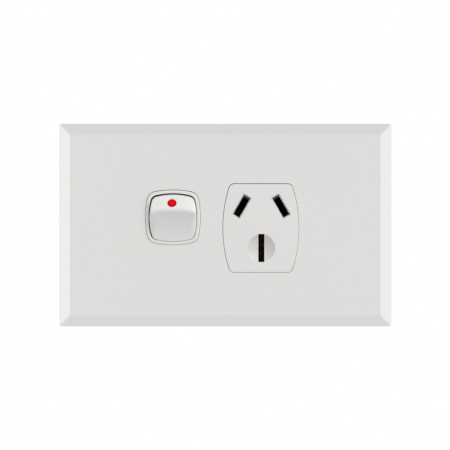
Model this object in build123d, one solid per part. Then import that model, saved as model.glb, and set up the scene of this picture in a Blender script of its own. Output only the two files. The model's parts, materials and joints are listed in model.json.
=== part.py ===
from build123d import *
import os
from math import cos, hypot, radians, tan

# A single power outlet with a switch, in millimetres. Seen from the front, X runs right and Z up.
# Y runs into the wall. The wall is the plane Y = 0, and the origin is the middle of the plate there.

# Cover plate
PLATE_WIDTH = 116.5
PLATE_HEIGHT = 71.0
PLATE_PROJECTION = 8.5
BEVEL_RUN = 4.0
BEVEL_RISE = 5.0
PLATE_CORNER = 0.9
FACE_CORNER = 0.4
FACE_EDGE = 0.3
SHOULDER_EDGE = 0.8
COVER_WALL = 2.2
RIM_GAP = 0.3
SOCKET_SEAM = 0.15
SWITCH_SEAM = 0.13
WINDOW_LIFT = 0.07
WINDOW_EDGE = 0.15
PRY_WIDTH = 9.0
PRY_DEPTH = 1.2

# Snap hooks that hold the cover to the frame
HOOK_Z = 17.0
HOOK_WIDTH = 6.0
HOOK_THICK = 1.4
HOOK_NOSE = 0.6
HOOK_LEDGE = 1.2
HOOK_CLEARANCE = 0.2
CATCH_CLEARANCE = 0.05

# Frame that is screwed to the wall box
FRAME_THICK = 2.5
FRAME_CORNER = 3.0
FRAME_CLEARANCE = 0.5
SEAT_DEPTH = 1.0
SEAT_CLEARANCE = 0.15
PANEL_MARGIN = 2.0
MOUNT_SPACING = 84.0
MOUNT_HOLE = 4.4
MOUNT_PAD = 9.6
MOUNT_PAD_RISE = 0.8

# Switch rocker, in its middle position about the pivot
SWITCH_X = -18.28
SWITCH_Z = 2.635
ROCKER_SIZE = 16.4
ROCKER_BOW = 1.1
ROCKER_CORNER = 2.2
ROCKER_GAP = 0.3
ROCKER_SIDE = 0.1
ROCKER_WALL = 1.5
ROCKER_SKIRT = 1.5
ROCKER_THROW = 10.0
ROCKER_EDGE = 0.35
ROCKER_SHOULDER = 1.4
FORM_MARGIN = 0.3
PIVOT_BEHIND_FACE = 1.5
EDGE_AHEAD = 2.3
BROW_ANGLE = 37.0
RIDGE_HEIGHT = 3.34
RIDGE_RADIUS = 1.4
SCOOP_RADIUS = 30.0
TRUNNION = 1.8
TRUNNION_CLEARANCE = 0.05
TRUNNION_GRIP = 0.8
COLLAR_WALL = 1.05
COLLAR_PROUD = 0.5
COLLAR_ROUND = 0.45
DOT_DIAMETER = 3.12
DOT_DEPTH = 0.5
DOT_PROUD = 0.05
DOT_CLEARANCE = 0.02
DOT_FROM_TOP = 0.554
DOT_SIDE = -0.38

# Plunger that runs in the stem of the rocker, and the spring behind it
STEM_DIAMETER = 5.4
STEM_REACH = 6.0
PLUNGER = 3.1
PLUNGER_CLEARANCE = 0.1
PLUNGER_SUNK = 3.0
PLUNGER_GAP = 0.15
SPRING_WIRE = 0.45
SPRING_COIL = 2.4
SPRING_TURNS = 4
SPRING_ROOM = 4.5

# Seesaw contact
LEVER_SWING = 12.0
LEVER_ARM = 7.2
LEVER_WIDTH = 4.4
LEVER_THICK = 0.9
LEVER_PIN = 1.3
PIN_CLEARANCE = 0.05
EAR_GAP = 0.4
EAR_THICK = 0.8
TIP_ARM = 5.8
TIP_DIAMETER = 2.6
LEVER_TIP_THICK = 0.7
FIXED_TIP_THICK = 0.8
CONTACT_GAP = 0.1

# Socket face
SOCKET_X = 12.43
SOCKET_FACE_Z = -1.06
SOCKET_WIDTH = 26.45
SOCKET_HEIGHT = 30.78
SOCKET_END_WIDTH = 21.3
SOCKET_CORNER = 1.9
SOCKET_PROUD = 0.15
SOCKET_EDGE = 0.15
SOCKET_WALL = 1.6
SOCKET_FRONT_WALL = 3.0
FLANGE_REACH = 1.2
FLANGE_THICK = 1.6

# Pin slots: two leaning slots about the middle of the plug, and the earth slot below
PLUG_X = 12.6
PLUG_Z = 2.63
PIN_RADIUS = 7.92
PIN_ANGLE = 30.0
SLOT_WIDTH = 2.4
SLOT_LENGTH = 7.7
SLOT_LEAD = 0.42
SLOT_LEAD_DEPTH = 2.0
EARTH_RADIUS = 10.63
EARTH_SLOT_WIDTH = 2.1
EARTH_SLOT_LENGTH = 9.83
DISH_DIAMETER = 9.7
DISH_DEPTH = 1.5
PIN_REACH = 20.0
PIN_MARGIN = 0.7

# Brass strips and the leaves that grip the pins
STRIP_THICK = 0.8
STRIP_WIDTH = 4.0
LEAF_THICK = 0.6
LEAF_WIDTH = 6.0
EARTH_LEAF_WIDTH = 9.0
LEAF_FOOT = 4.8
LEAF_STRAIGHT = 3.0
LEAF_THROAT = 1.3
LEAF_MOUTH = 3.2
LEAF_THROAT_IN = 9.5
LEAF_MOUTH_IN = 5.0
LEAF_BEND = 2.5

# Terminals
EARTH_TERMINAL_X = -1.8
NEUTRAL_TERMINAL_X = 21.0
BLOCK_WIDTH = 8.0
BLOCK_LENGTH = 8.6
BLOCK_WALL = 0.9
BLOCK_THREAD = 2.0
BLOCK_EDGE = 0.5
BLOCK_CLEARANCE = 0.3
WIRE_BORE = 4.2
STAKE_DIAMETER = 2.4
STAKE_CLEARANCE = 0.05
CLAMP_SCREW = 4.0
CLAMP_CLEARANCE = 0.03
CLAMP_STOP = 0.1
CLAMP_HEAD = 6.2
CLAMP_HEAD_HEIGHT = 2.2
CLAMP_SLOT = 1.0
CLAMP_SLOT_DEPTH = 1.1
HEAD_EDGE = 0.3

# Rear housing
HOUSING_WALL = 1.8
HOUSING_FLOOR = 2.0
HOUSING_CORNER = 3.0
HOUSING_TOP_MARGIN = 8.5
SUPPORT_DEPTH = 7.0
POCKET_WALL = 1.2
POCKET_CLEARANCE = 0.3
CAGE_REACH = 9.0
CAGE_CLEARANCE = 0.08
FLANGE_POST = 2.2
BAY_WALL = 1.6
BAY_FLOOR = 1.8
BAY_LIP = 0.8
BARRIER_MARGIN = 0.6
RIB_THICK = 1.2
RIB_HEIGHT = 3.0
SLIT_CLEARANCE = 0.15
STOP_LENGTH = 2.4

# Screws between the housing and the frame
BOSS_DIAMETER = 6.4
BOSS_CLEARANCE = 0.3
CASE_SCREW = 2.6
CASE_SCREW_CLEARANCE = 0.05
CASE_SCREW_GRIP = 4.2
CASE_SCREW_HEAD = 4.4
CASE_SCREW_HEAD_HEIGHT = 1.8
CASE_SCREW_SEAT = 5.0
CASE_SCREW_LOW_Z = -8.0
COUNTERBORE_CLEARANCE = 0.2
BOSS_CAP = 0.8

# How close two planes are when they count as one
NEAR = 0.001

# Planes across the depth
FACE_Y = -PLATE_PROJECTION
RIM_Y = -RIM_GAP
COVER_BACK_Y = FACE_Y + COVER_WALL
PANEL_Y = -(FRAME_THICK + SEAT_DEPTH)
SEAT_Y = -SEAT_DEPTH
COLLAR_Y = FACE_Y - COLLAR_PROUD
SOCKET_Y = FACE_Y - SOCKET_PROUD
FLANGE_Y = SEAT_Y + FLANGE_THICK
PIVOT_Y = FACE_Y + PIVOT_BEHIND_FACE
STRIP_Y = SOCKET_Y + PIN_REACH + PIN_MARGIN
STRIP_BACK_Y = STRIP_Y + STRIP_THICK
LEVER_Y = STRIP_Y - FIXED_TIP_THICK - CONTACT_GAP - LEVER_TIP_THICK - LEVER_THICK / 2
HOUSING_INNER_Y = STRIP_BACK_Y + SUPPORT_DEPTH
HOUSING_Y = HOUSING_INNER_Y + HOUSING_FLOOR
BORE_Y = STRIP_BACK_Y + BLOCK_WALL + WIRE_BORE / 2
BLOCK_Y = BORE_Y + WIRE_BORE / 2 + BLOCK_THREAD
CLAMP_TIP_Y = BORE_Y + WIRE_BORE / 2 + CLAMP_STOP
CLAMP_SHANK = BLOCK_THREAD + WIRE_BORE
CLAMP_HEAD_Y = CLAMP_TIP_Y + CLAMP_SHANK
BARRIER_Y = CLAMP_HEAD_Y + CLAMP_HEAD_HEIGHT + BARRIER_MARGIN
CASE_SEAT_Y = SEAT_Y + CASE_SCREW_SEAT

# Places seen from the front, as (x, z)
LEAN = radians(PIN_ANGLE)
ACTIVE_PIN = (PLUG_X - PIN_RADIUS * cos(LEAN), PLUG_Z + PIN_RADIUS / 2)
NEUTRAL_PIN = (PLUG_X + PIN_RADIUS * cos(LEAN), PLUG_Z + PIN_RADIUS / 2)
EARTH_PIN = (PLUG_X, PLUG_Z - EARTH_RADIUS)
FIXED_TIP_Z = SWITCH_Z + TIP_ARM
CRADLE_HALF = LEVER_WIDTH / 2 + EAR_GAP + EAR_THICK
LINE_X = SWITCH_X - CRADLE_HALF - POCKET_CLEARANCE - STRIP_WIDTH / 2 - EAR_THICK
POCKET_FOOT = LEAF_FOOT + 2 * POCKET_CLEARANCE
EARTH_POCKET_LENGTH = EARTH_LEAF_WIDTH + 2 * POCKET_CLEARANCE
BAY_TOP_Z = EARTH_PIN[1] - EARTH_POCKET_LENGTH / 2 - POCKET_WALL
BAY_Z = BAY_TOP_Z - BAY_WALL
BLOCK_TOP_Z = BAY_Z - BLOCK_CLEARANCE
BLOCK_LOW_Z = BLOCK_TOP_Z - BLOCK_LENGTH
HOUSING_LOW_Z = BLOCK_LOW_Z - BAY_LIP
HOUSING_TOP_Z = SOCKET_FACE_Z + SOCKET_HEIGHT / 2 + FLANGE_REACH + HOUSING_TOP_MARGIN
BOSS = BOSS_DIAMETER / 2
SOCKET_SIDE = SOCKET_X + SOCKET_WIDTH / 2 + FLANGE_REACH
LINE_SIDE = STRIP_WIDTH / 2 - LINE_X
CASE_SCREW_X = max(SOCKET_SIDE, LINE_SIDE) + BOSS_CLEARANCE + BOSS
HOUSING_HALF = CASE_SCREW_X + BOSS
CASE_SCREW_TOP_Z = HOUSING_TOP_Z - BOSS
CASE_SCREW_PLACES = [
    (side * CASE_SCREW_X, z) for side in (-1, 1) for z in (CASE_SCREW_LOW_Z, CASE_SCREW_TOP_Z)
]
TERMINALS = {"line": LINE_X, "earth": EARTH_TERMINAL_X, "neutral": NEUTRAL_TERMINAL_X}
PINS = {
    "active": (ACTIVE_PIN, PIN_ANGLE, LEAF_WIDTH),
    "neutral": (NEUTRAL_PIN, -PIN_ANGLE, LEAF_WIDTH),
    "earth": (EARTH_PIN, 0.0, EARTH_LEAF_WIDTH),
}

# Cover and frame sizes that follow from the bevel
BEVEL_SLOPE = hypot(BEVEL_RUN, BEVEL_RISE)
INNER_FACE_INSET = BEVEL_RUN + COVER_WALL * (BEVEL_SLOPE - BEVEL_RUN) / BEVEL_RISE
INNER_SHOULDER = (COVER_WALL * BEVEL_SLOPE + BEVEL_RISE * (BEVEL_RUN - COVER_WALL)) / BEVEL_RUN
FRAME_INSET = COVER_WALL + FRAME_CLEARANCE
HOOK_X = PLATE_WIDTH / 2 - INNER_FACE_INSET - HOOK_CLEARANCE
HOOK_TIP_Y = RIM_Y - HOOK_CLEARANCE
HOOK_CATCH_Y = HOOK_LEDGE - FRAME_THICK

# Rocker sizes that follow from its facets
ROCKER_HALF = ROCKER_SIZE / 2
BROW_SLOPE = tan(radians(BROW_ANGLE))
RIDGE_AHEAD = EDGE_AHEAD + (ROCKER_HALF - RIDGE_HEIGHT) * BROW_SLOPE
COLLAR_HALF = ROCKER_HALF + ROCKER_GAP + COLLAR_WALL / 2
PLUNGER_REACH = LEVER_Y - max(LEVER_THICK, LEVER_PIN) / 2 - PLUNGER_GAP - PIVOT_Y
ROCKER_REST = Pos(SWITCH_X + ROCKER_SIDE, PIVOT_Y, SWITCH_Z) * Rot(ROCKER_THROW / 2, 0, 0)
LEVER_REST = Pos(SWITCH_X, LEVER_Y, SWITCH_Z) * Rot(-LEVER_SWING, 0, 0)


def across_depth(y):
    """Plane parallel to the wall, seen from the front."""
    return Plane.XZ.offset(-y)


def slab(outline, back, front):
    """Solid with a front-view outline, between two planes across the depth."""
    return extrude(across_depth(back) * outline, amount=back - front)


def block(x_range, y_range, z_range):
    """Box between two values on each axis."""
    spans = [high - low for low, high in (x_range, y_range, z_range)]
    middle = [(low + high) / 2 for low, high in (x_range, y_range, z_range)]
    return Pos(*middle) * Box(*spans)


def rod_along_x(diameter, x_from, x_to):
    """Round rod on the X axis."""
    return Pos((x_from + x_to) / 2, 0, 0) * Rot(0, 90, 0) * Cylinder(diameter / 2, x_to - x_from)


def rod_along_z(diameter, x, y, z_from, z_to):
    """Upright round rod."""
    return Pos(x, y, (z_from + z_to) / 2) * Cylinder(diameter / 2, z_to - z_from)


def disc(place, diameter):
    """Circle in the front view."""
    return Pos(*place) * Circle(diameter / 2)


def bowed_square(size, bow, corner):
    """Square whose four sides bulge, with round corners."""
    half = size / 2
    tip = half - bow
    sides = [
        ThreePointArc((-tip, tip), (0, half), (tip, tip)),
        ThreePointArc((tip, tip), (half, 0), (tip, -tip)),
        ThreePointArc((tip, -tip), (0, -half), (-tip, -tip)),
        ThreePointArc((-tip, -tip), (-half, 0), (-tip, tip)),
    ]
    face = make_face(sides)
    return fillet(face.vertices(), corner)


def rocker_outline(grow):
    """Outline of the rocker, grown evenly, at the origin."""
    return bowed_square(ROCKER_SIZE + 2 * grow, ROCKER_BOW, ROCKER_CORNER + grow)


def switch_outline(grow):
    """Outline of the rocker, grown evenly, in its place on the plate."""
    return Pos(SWITCH_X, SWITCH_Z) * rocker_outline(grow)


def socket_outline(grow):
    """Barrel outline of the socket face, grown evenly, in its place on the plate."""
    end = SOCKET_END_WIDTH / 2 + grow
    waist = SOCKET_WIDTH / 2 + grow
    top = SOCKET_HEIGHT / 2 + grow
    sides = [
        Line((-end, top), (end, top)),
        ThreePointArc((end, top), (waist, 0), (end, -top)),
        Line((end, -top), (-end, -top)),
        ThreePointArc((-end, -top), (-waist, 0), (-end, top)),
    ]
    face = make_face(sides)
    return Pos(SOCKET_X, SOCKET_FACE_Z) * fillet(face.vertices(), SOCKET_CORNER + grow)


def pin_outline(pin, across, along):
    """Rectangle that leans with a pin, at the place of that pin."""
    place, lean, _ = PINS[pin]
    return Pos(*place) * Rot(0, 0, -lean) * Rectangle(across, along)


def strip_outline(points, width):
    """Flat strip along straight runs, with round ends and joints."""
    outline = Sketch()
    for start, end in zip(points, points[1:]):
        run = Line(start, end)
        turn = Rot(0, 0, run.tangent_angle_at(0))
        outline += Pos(*(run @ 0.5)) * turn * Rectangle(run.length, width)
        outline += disc(start, width) + disc(end, width)
    return outline


def loop_edges(part, y):
    """Edges that lie in one plane across the depth."""
    flat = part.edges().filter_by(lambda edge: edge.bounding_box().size.Y < NEAR)
    return flat.filter_by_position(Axis.Y, y - NEAR, y + NEAR)


def in_front_of(edges, y):
    """Edges that stay clear of a plane behind them."""
    return edges.filter_by(lambda edge: edge.bounding_box().max.Y < y - NEAR)


def bevelled_solid(width, height, inset, back, shoulder, front, corner):
    """Plate with straight sides up to a shoulder and a bevel from there to its face."""
    rim_outline = RectangleRounded(width, height, corner)
    face_outline = RectangleRounded(width - 2 * inset, height - 2 * inset, FACE_CORNER)
    bevel = loft([across_depth(shoulder) * rim_outline, across_depth(front) * face_outline], ruled=True)
    return slab(rim_outline, back, shoulder) + bevel


def snap_hook():
    """Hook at the right-hand side of the cover, with a sloped nose that catches behind the frame."""
    catch = HOOK_CATCH_Y + CATCH_CLEARANCE
    profile = Polygon(
        (HOOK_X - HOOK_THICK, COVER_BACK_Y),
        (HOOK_X, COVER_BACK_Y),
        (HOOK_X, catch),
        (HOOK_X + HOOK_NOSE, catch),
        (HOOK_X, HOOK_TIP_Y),
        (HOOK_X - HOOK_THICK, HOOK_TIP_Y),
        align=None,
    )
    return extrude(profile, amount=HOOK_WIDTH / 2, both=True)


def cover_plate():
    """Bevelled cover with its two windows, four snap hooks and a notch to prise it off."""
    shell = bevelled_solid(
        PLATE_WIDTH, PLATE_HEIGHT, BEVEL_RUN, RIM_Y, FACE_Y + BEVEL_RISE, FACE_Y, PLATE_CORNER
    )
    shell = fillet(loop_edges(shell, FACE_Y), FACE_EDGE)
    shell = fillet(loop_edges(shell, FACE_Y + BEVEL_RISE), SHOULDER_EDGE)
    cavity = bevelled_solid(
        PLATE_WIDTH - 2 * COVER_WALL,
        PLATE_HEIGHT - 2 * COVER_WALL,
        INNER_FACE_INSET - COVER_WALL,
        0,
        FACE_Y + INNER_SHOULDER,
        COVER_BACK_Y,
        PLATE_CORNER,
    )
    shell -= cavity
    shell -= slab(Pos(0, WINDOW_LIFT) * socket_outline(SOCKET_SEAM), 0, COLLAR_Y)
    front = shell.faces().sort_by(Axis.Y)[0]
    shell = chamfer(front.inner_wires()[0].edges(), WINDOW_EDGE)
    switch_window = switch_outline(ROCKER_GAP + COLLAR_WALL + SWITCH_SEAM)
    shell -= slab(Pos(0, WINDOW_LIFT) * switch_window, 0, COLLAR_Y)
    hook = snap_hook()
    for z in (HOOK_Z, -HOOK_Z):
        shell += Pos(0, 0, z) * hook
        shell += Pos(0, 0, z) * mirror(hook, about=Plane.YZ)
    low = -PLATE_HEIGHT / 2
    notch = block((-PRY_WIDTH / 2, PRY_WIDTH / 2), (RIM_Y - PRY_DEPTH, 0), (low, low + COVER_WALL))
    return shell - notch


def hook_slot():
    """Room for the right-hand hook in the frame, wider behind the ledge that the nose catches."""
    half = HOOK_WIDTH / 2 + HOOK_CLEARANCE
    inner = HOOK_X - HOOK_THICK - HOOK_CLEARANCE - HOOK_NOSE
    outer = HOOK_X + HOOK_CLEARANCE
    throat = block((inner, outer), (-FRAME_THICK, 0), (-half, half))
    undercut = block((inner, outer + HOOK_NOSE), (HOOK_CATCH_Y, 0), (-half, half))
    return throat + undercut


def trunnion_notch(side):
    """Slot in the collar, open to the rear, that ends in a half-round bearing for a trunnion."""
    bearing = TRUNNION + 2 * TRUNNION_CLEARANCE
    middle = side * COLLAR_HALF
    span = (SWITCH_X + middle - COLLAR_WALL, SWITCH_X + middle + COLLAR_WALL)
    round_end = Pos(0, PIVOT_Y, SWITCH_Z) * rod_along_x(bearing, *span)
    slot = block(span, (PIVOT_Y, SEAT_Y), (SWITCH_Z - bearing / 2, SWITCH_Z + bearing / 2))
    return round_end + slot


def housing_outline(grow):
    """Outline of the rear housing, grown evenly."""
    height = HOUSING_TOP_Z - HOUSING_LOW_Z + 2 * grow
    middle = (HOUSING_TOP_Z + HOUSING_LOW_Z) / 2
    return Pos(0, middle) * RectangleRounded(2 * HOUSING_HALF + 2 * grow, height, HOUSING_CORNER + grow)


def mounting_frame():
    """Frame behind the cover, with the switch collar and the opening for the socket face."""
    outline = RectangleRounded(
        PLATE_WIDTH - 2 * FRAME_INSET, PLATE_HEIGHT - 2 * FRAME_INSET, FRAME_CORNER
    )
    frame = slab(outline, 0, -FRAME_THICK)
    frame += slab(housing_outline(PANEL_MARGIN), 0, PANEL_Y)
    frame -= slab(housing_outline(SEAT_CLEARANCE), 0, SEAT_Y)
    collar = slab(switch_outline(ROCKER_GAP + COLLAR_WALL), SEAT_Y, COLLAR_Y)
    collar = fillet(loop_edges(collar, COLLAR_Y), COLLAR_ROUND)
    opening = slab(switch_outline(ROCKER_GAP), SEAT_Y, COLLAR_Y)
    frame += collar
    frame -= opening
    frame -= slab(socket_outline(SOCKET_SEAM), SEAT_Y, PANEL_Y)
    for side in (-1, 1):
        frame -= trunnion_notch(side)
    pilot_y = SEAT_Y - CASE_SCREW_GRIP
    for place in CASE_SCREW_PLACES:
        frame += slab(disc(place, BOSS_DIAMETER), SEAT_Y, pilot_y - BOSS_CAP)
        frame -= slab(disc(place, CASE_SCREW + 2 * CASE_SCREW_CLEARANCE), SEAT_Y, pilot_y)
    for side in (-1, 1):
        place = (side * MOUNT_SPACING / 2, 0)
        frame += slab(disc(place, MOUNT_PAD), 0, -FRAME_THICK - MOUNT_PAD_RISE)
        frame -= slab(disc(place, MOUNT_HOLE), 0, -FRAME_THICK - MOUNT_PAD_RISE)
    slot = hook_slot()
    for z in (HOOK_Z, -HOOK_Z):
        frame -= Pos(0, 0, z) * slot
        frame -= Pos(0, 0, z) * mirror(slot, about=Plane.YZ)
    return frame


def pin_slot(pin, across, along):
    """Slot through the front of the socket face, with a sloped lead-in."""
    outline = pin_outline(pin, across, along)
    wide_outline = pin_outline(pin, across + 2 * SLOT_LEAD, along + 2 * SLOT_LEAD)
    mouth = across_depth(SOCKET_Y) * wide_outline
    throat = across_depth(SOCKET_Y + SLOT_LEAD_DEPTH) * outline
    return slab(outline, SOCKET_Y + SOCKET_FRONT_WALL, SOCKET_Y) + loft([mouth, throat], ruled=True)


def socket_face():
    """Barrel-shaped cup with a flange behind the frame, the pin slots and the dish round the earth slot."""
    cup = slab(socket_outline(0), FLANGE_Y, SOCKET_Y)
    cup = fillet(loop_edges(cup, SOCKET_Y), SOCKET_EDGE)
    cup += slab(socket_outline(FLANGE_REACH), FLANGE_Y, SEAT_Y)
    cup -= slab(socket_outline(-SOCKET_WALL), FLANGE_Y, SOCKET_Y + SOCKET_FRONT_WALL)
    for pin in ("active", "neutral"):
        cup -= pin_slot(pin, SLOT_WIDTH, SLOT_LENGTH)
    dish_radius = (DISH_DIAMETER**2 / 4 + DISH_DEPTH**2) / (2 * DISH_DEPTH)
    cup -= Pos(EARTH_PIN[0], SOCKET_Y + DISH_DEPTH - dish_radius, EARTH_PIN[1]) * Sphere(dish_radius)
    earth = pin_outline("earth", EARTH_SLOT_WIDTH, EARTH_SLOT_LENGTH)
    return cup - slab(earth, SOCKET_Y + SOCKET_FRONT_WALL, SOCKET_Y)


def rocker_form():
    """Rocker about its pivot, a little larger than its outline: a sloped brow above a scooped lower face."""
    reach = ROCKER_HALF + FORM_MARGIN
    ridge = Vector(-RIDGE_AHEAD, RIDGE_HEIGHT)
    foot = Vector(-EDGE_AHEAD, -ROCKER_HALF)
    chord = foot - ridge
    ahead = Vector(chord.Y, -chord.X).normalized()
    rise = (SCOOP_RADIUS**2 - (chord.length / 2) ** 2) ** 0.5
    centre = (ridge + foot) * 0.5 + ahead * rise
    deepest = centre - ahead * SCOOP_RADIUS
    low = (centre.X + (SCOOP_RADIUS**2 - (reach + centre.Y) ** 2) ** 0.5, -reach)
    brow_top = (FORM_MARGIN * BROW_SLOPE - EDGE_AHEAD, reach)
    side = make_face(
        [
            Polyline(low, (ROCKER_SKIRT, -reach), (ROCKER_SKIRT, reach), brow_top, ridge),
            ThreePointArc(ridge, deepest, low),
        ]
    )
    return extrude(Plane.YZ * side, amount=reach, both=True)


def rocker_blank(form, grow):
    """Part of a form that lies within the outline of the rocker, grown evenly."""
    return form & slab(rocker_outline(grow), ROCKER_SKIRT, -2 * RIDGE_AHEAD)


def dot_place():
    """Place of the red dot on the brow, with the third axis square to the brow."""
    drop = (ROCKER_HALF - RIDGE_HEIGHT) * DOT_FROM_TOP
    ahead = EDGE_AHEAD + drop * BROW_SLOPE
    return Pos(DOT_SIDE, -ahead, ROCKER_HALF - drop) * Rot(90 - BROW_ANGLE, 0, 0)


def rounded_form():
    """Form of the rocker with a round ridge and round shoulders at its two sides."""
    form = rocker_form()
    form = fillet(form.edges().filter_by(Axis.X).sort_by(Axis.Y)[0], RIDGE_RADIUS)
    ends = form.edges().filter_by(lambda edge: edge.bounding_box().size.X < NEAR)
    return fillet(in_front_of(ends, ROCKER_SKIRT), ROCKER_SHOULDER)


def round_rim(blank):
    """Break the edge between the front of the rocker and its walls."""
    walls = blank.faces().filter_by(lambda face: abs(face.normal_at().Y) < NEAR)
    return fillet(in_front_of(walls.edges(), ROCKER_SKIRT), ROCKER_EDGE)


def rocker():
    """Hollow rocker with its stem, plunger bore, two trunnions and the recess for the dot."""
    stem = slab(disc((0, 0), STEM_DIAMETER), STEM_REACH, -RIDGE_AHEAD)
    hollow = Pos(0, ROCKER_WALL, 0) * rocker_blank(rocker_form(), -ROCKER_WALL) - stem
    body = round_rim(rocker_blank(rounded_form(), 0)) - hollow
    body += slab(disc((0, 0), STEM_DIAMETER), STEM_REACH, 0)
    bore_end = PLUNGER_SUNK - SPRING_ROOM
    body -= slab(disc((0, 0), PLUNGER + 2 * PLUNGER_CLEARANCE), STEM_REACH, bore_end)
    for side in (-1, 1):
        root = side * (ROCKER_HALF - ROCKER_WALL / 2)
        end = side * (ROCKER_HALF + ROCKER_GAP + TRUNNION_GRIP)
        body += rod_along_x(TRUNNION, min(root, end), max(root, end))
    recess = Cylinder(
        DOT_DIAMETER / 2 + DOT_CLEARANCE, DOT_DEPTH, align=(Align.CENTER, Align.CENTER, Align.MAX)
    )
    return ROCKER_REST * (body - dot_place() * recess)


def indicator_dot():
    """Red disc let into the brow."""
    disc_solid = Cylinder(
        DOT_DIAMETER / 2, DOT_DEPTH + DOT_PROUD, align=(Align.CENTER, Align.CENTER, Align.MIN)
    )
    return ROCKER_REST * dot_place() * Pos(0, 0, -DOT_DEPTH) * disc_solid


def plunger():
    """Round pin with a domed end that pushes on the seesaw."""
    dome = PLUNGER / 2
    pin = slab(disc((0, 0), PLUNGER), PLUNGER_REACH - dome, PLUNGER_SUNK)
    pin += Pos(0, PLUNGER_REACH - dome, 0) * Sphere(dome)
    return ROCKER_REST * pin


def plunger_spring():
    """Coil spring between the end of the bore and the plunger, its wire drawn with six flats to stay light."""
    room = SPRING_ROOM - SPRING_WIRE
    path = Helix(room / SPRING_TURNS, room, SPRING_COIL / 2)
    section = Plane(origin=path @ 0, z_dir=path % 0) * RegularPolygon(SPRING_WIRE / 2, 6)
    coil = sweep(section, path=path, is_frenet=True)
    start = PLUNGER_SUNK - SPRING_ROOM + SPRING_WIRE / 2
    return ROCKER_REST * Pos(0, start, 0) * Rot(-90, 0, 0) * coil


def contact_lever():
    """Seesaw of two arms, bent towards the plunger, on a cross pin."""
    half = LEVER_WIDTH / 2
    arm = block((-half, half), (-LEVER_THICK / 2, LEVER_THICK / 2), (0, LEVER_ARM))
    pin = rod_along_x(LEVER_PIN, -CRADLE_HALF, CRADLE_HALF)
    lower = mirror(Rot(LEVER_SWING, 0, 0) * arm, about=Plane.XY)
    return LEVER_REST * (Rot(LEVER_SWING, 0, 0) * arm + lower + pin)


def lever_tip():
    """Silver contact on the back of the upper arm."""
    back = LEVER_THICK / 2 + LEVER_TIP_THICK
    tip = slab(disc((0, TIP_ARM), TIP_DIAMETER), back, LEVER_THICK / 2)
    return LEVER_REST * Rot(LEVER_SWING, 0, 0) * tip


def fixed_tip():
    """Silver contact that the seesaw meets when the switch is on."""
    return slab(disc((SWITCH_X, FIXED_TIP_Z), TIP_DIAMETER), STRIP_Y, STRIP_Y - FIXED_TIP_THICK)


def tail_points(terminal, z_from):
    """Straight run of a strip down to its terminal."""
    x = TERMINALS[terminal]
    return [(x, z_from), (x, BLOCK_LOW_Z + STRIP_WIDTH / 2)]


STRIP_ROUTES = {
    "line": [(SWITCH_X, FIXED_TIP_Z), (LINE_X, FIXED_TIP_Z)] + tail_points("line", FIXED_TIP_Z)[1:],
    "active": [(SWITCH_X, SWITCH_Z), (ACTIVE_PIN[0] - LEAF_FOOT / 2, SWITCH_Z), ACTIVE_PIN],
    "neutral": [NEUTRAL_PIN] + tail_points("neutral", NEUTRAL_PIN[1] - LEAF_WIDTH / 2),
    "earth": [EARTH_PIN] + tail_points("earth", EARTH_PIN[1]),
}


def strip(route):
    """Flat brass strip, with a hole where the terminal is staked to it."""
    flat = slab(strip_outline(STRIP_ROUTES[route], STRIP_WIDTH), STRIP_BACK_Y, STRIP_Y)
    if route in TERMINALS:
        hole = disc(stake_place(route), STAKE_DIAMETER + 2 * STAKE_CLEARANCE)
        flat -= slab(hole, STRIP_BACK_Y, STRIP_Y)
    return flat


def stake_place(terminal):
    """Middle of a terminal block, where its stake goes through the strip."""
    return (TERMINALS[terminal], BLOCK_TOP_Z - BLOCK_LENGTH / 2)


def leaf_pair(pin):
    """Foot and two sprung leaves that grip a pin, in the place of that pin."""
    place, lean, width = PINS[pin]
    middle = LEAF_THICK / 2
    foot = LEAF_FOOT / 2 - middle
    path = FilletPolyline(
        (foot, STRIP_BACK_Y),
        (foot, STRIP_Y - LEAF_STRAIGHT),
        (LEAF_THROAT / 2 + middle, SOCKET_Y + LEAF_THROAT_IN),
        (LEAF_MOUTH / 2 + middle, SOCKET_Y + LEAF_MOUTH_IN),
        radius=LEAF_BEND,
    )
    leaf = extrude(trace(path, LEAF_THICK), amount=width / 2, both=True)
    foot_plate = block(
        (-LEAF_FOOT / 2, LEAF_FOOT / 2), (STRIP_Y, STRIP_BACK_Y), (-width / 2, width / 2)
    )
    pair = leaf + mirror(leaf, about=Plane.YZ) + foot_plate
    return Pos(place[0], 0, place[1]) * Rot(0, lean, 0) * pair


def fixed_strip():
    """Strip from the line terminal up to the fixed contact of the switch."""
    return strip("line")


def active_contact():
    """Switched strip, with the ears that carry the seesaw and the leaves of the active slot."""
    contact = strip("active") + leaf_pair("active")
    half = STRIP_WIDTH / 2
    cradle = block(
        (SWITCH_X - CRADLE_HALF, SWITCH_X + CRADLE_HALF),
        (STRIP_Y, STRIP_BACK_Y),
        (SWITCH_Z - half, SWITCH_Z + half),
    )
    contact += cradle
    for side in (-1, 1):
        ends = sorted((side * CRADLE_HALF, side * (CRADLE_HALF - EAR_THICK)))
        ear = block(
            (SWITCH_X + ends[0], SWITCH_X + ends[1]),
            (LEVER_Y, STRIP_BACK_Y),
            (SWITCH_Z - LEVER_PIN, SWITCH_Z + LEVER_PIN),
        )
        contact += ear
    groove = rod_along_x(LEVER_PIN + 2 * PIN_CLEARANCE, -2 * CRADLE_HALF, 2 * CRADLE_HALF)
    return contact - Pos(SWITCH_X, LEVER_Y, SWITCH_Z) * groove


def pin_contact(pin):
    """Strip from a terminal to the leaves of its slot."""
    return strip(pin) + leaf_pair(pin)


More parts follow.
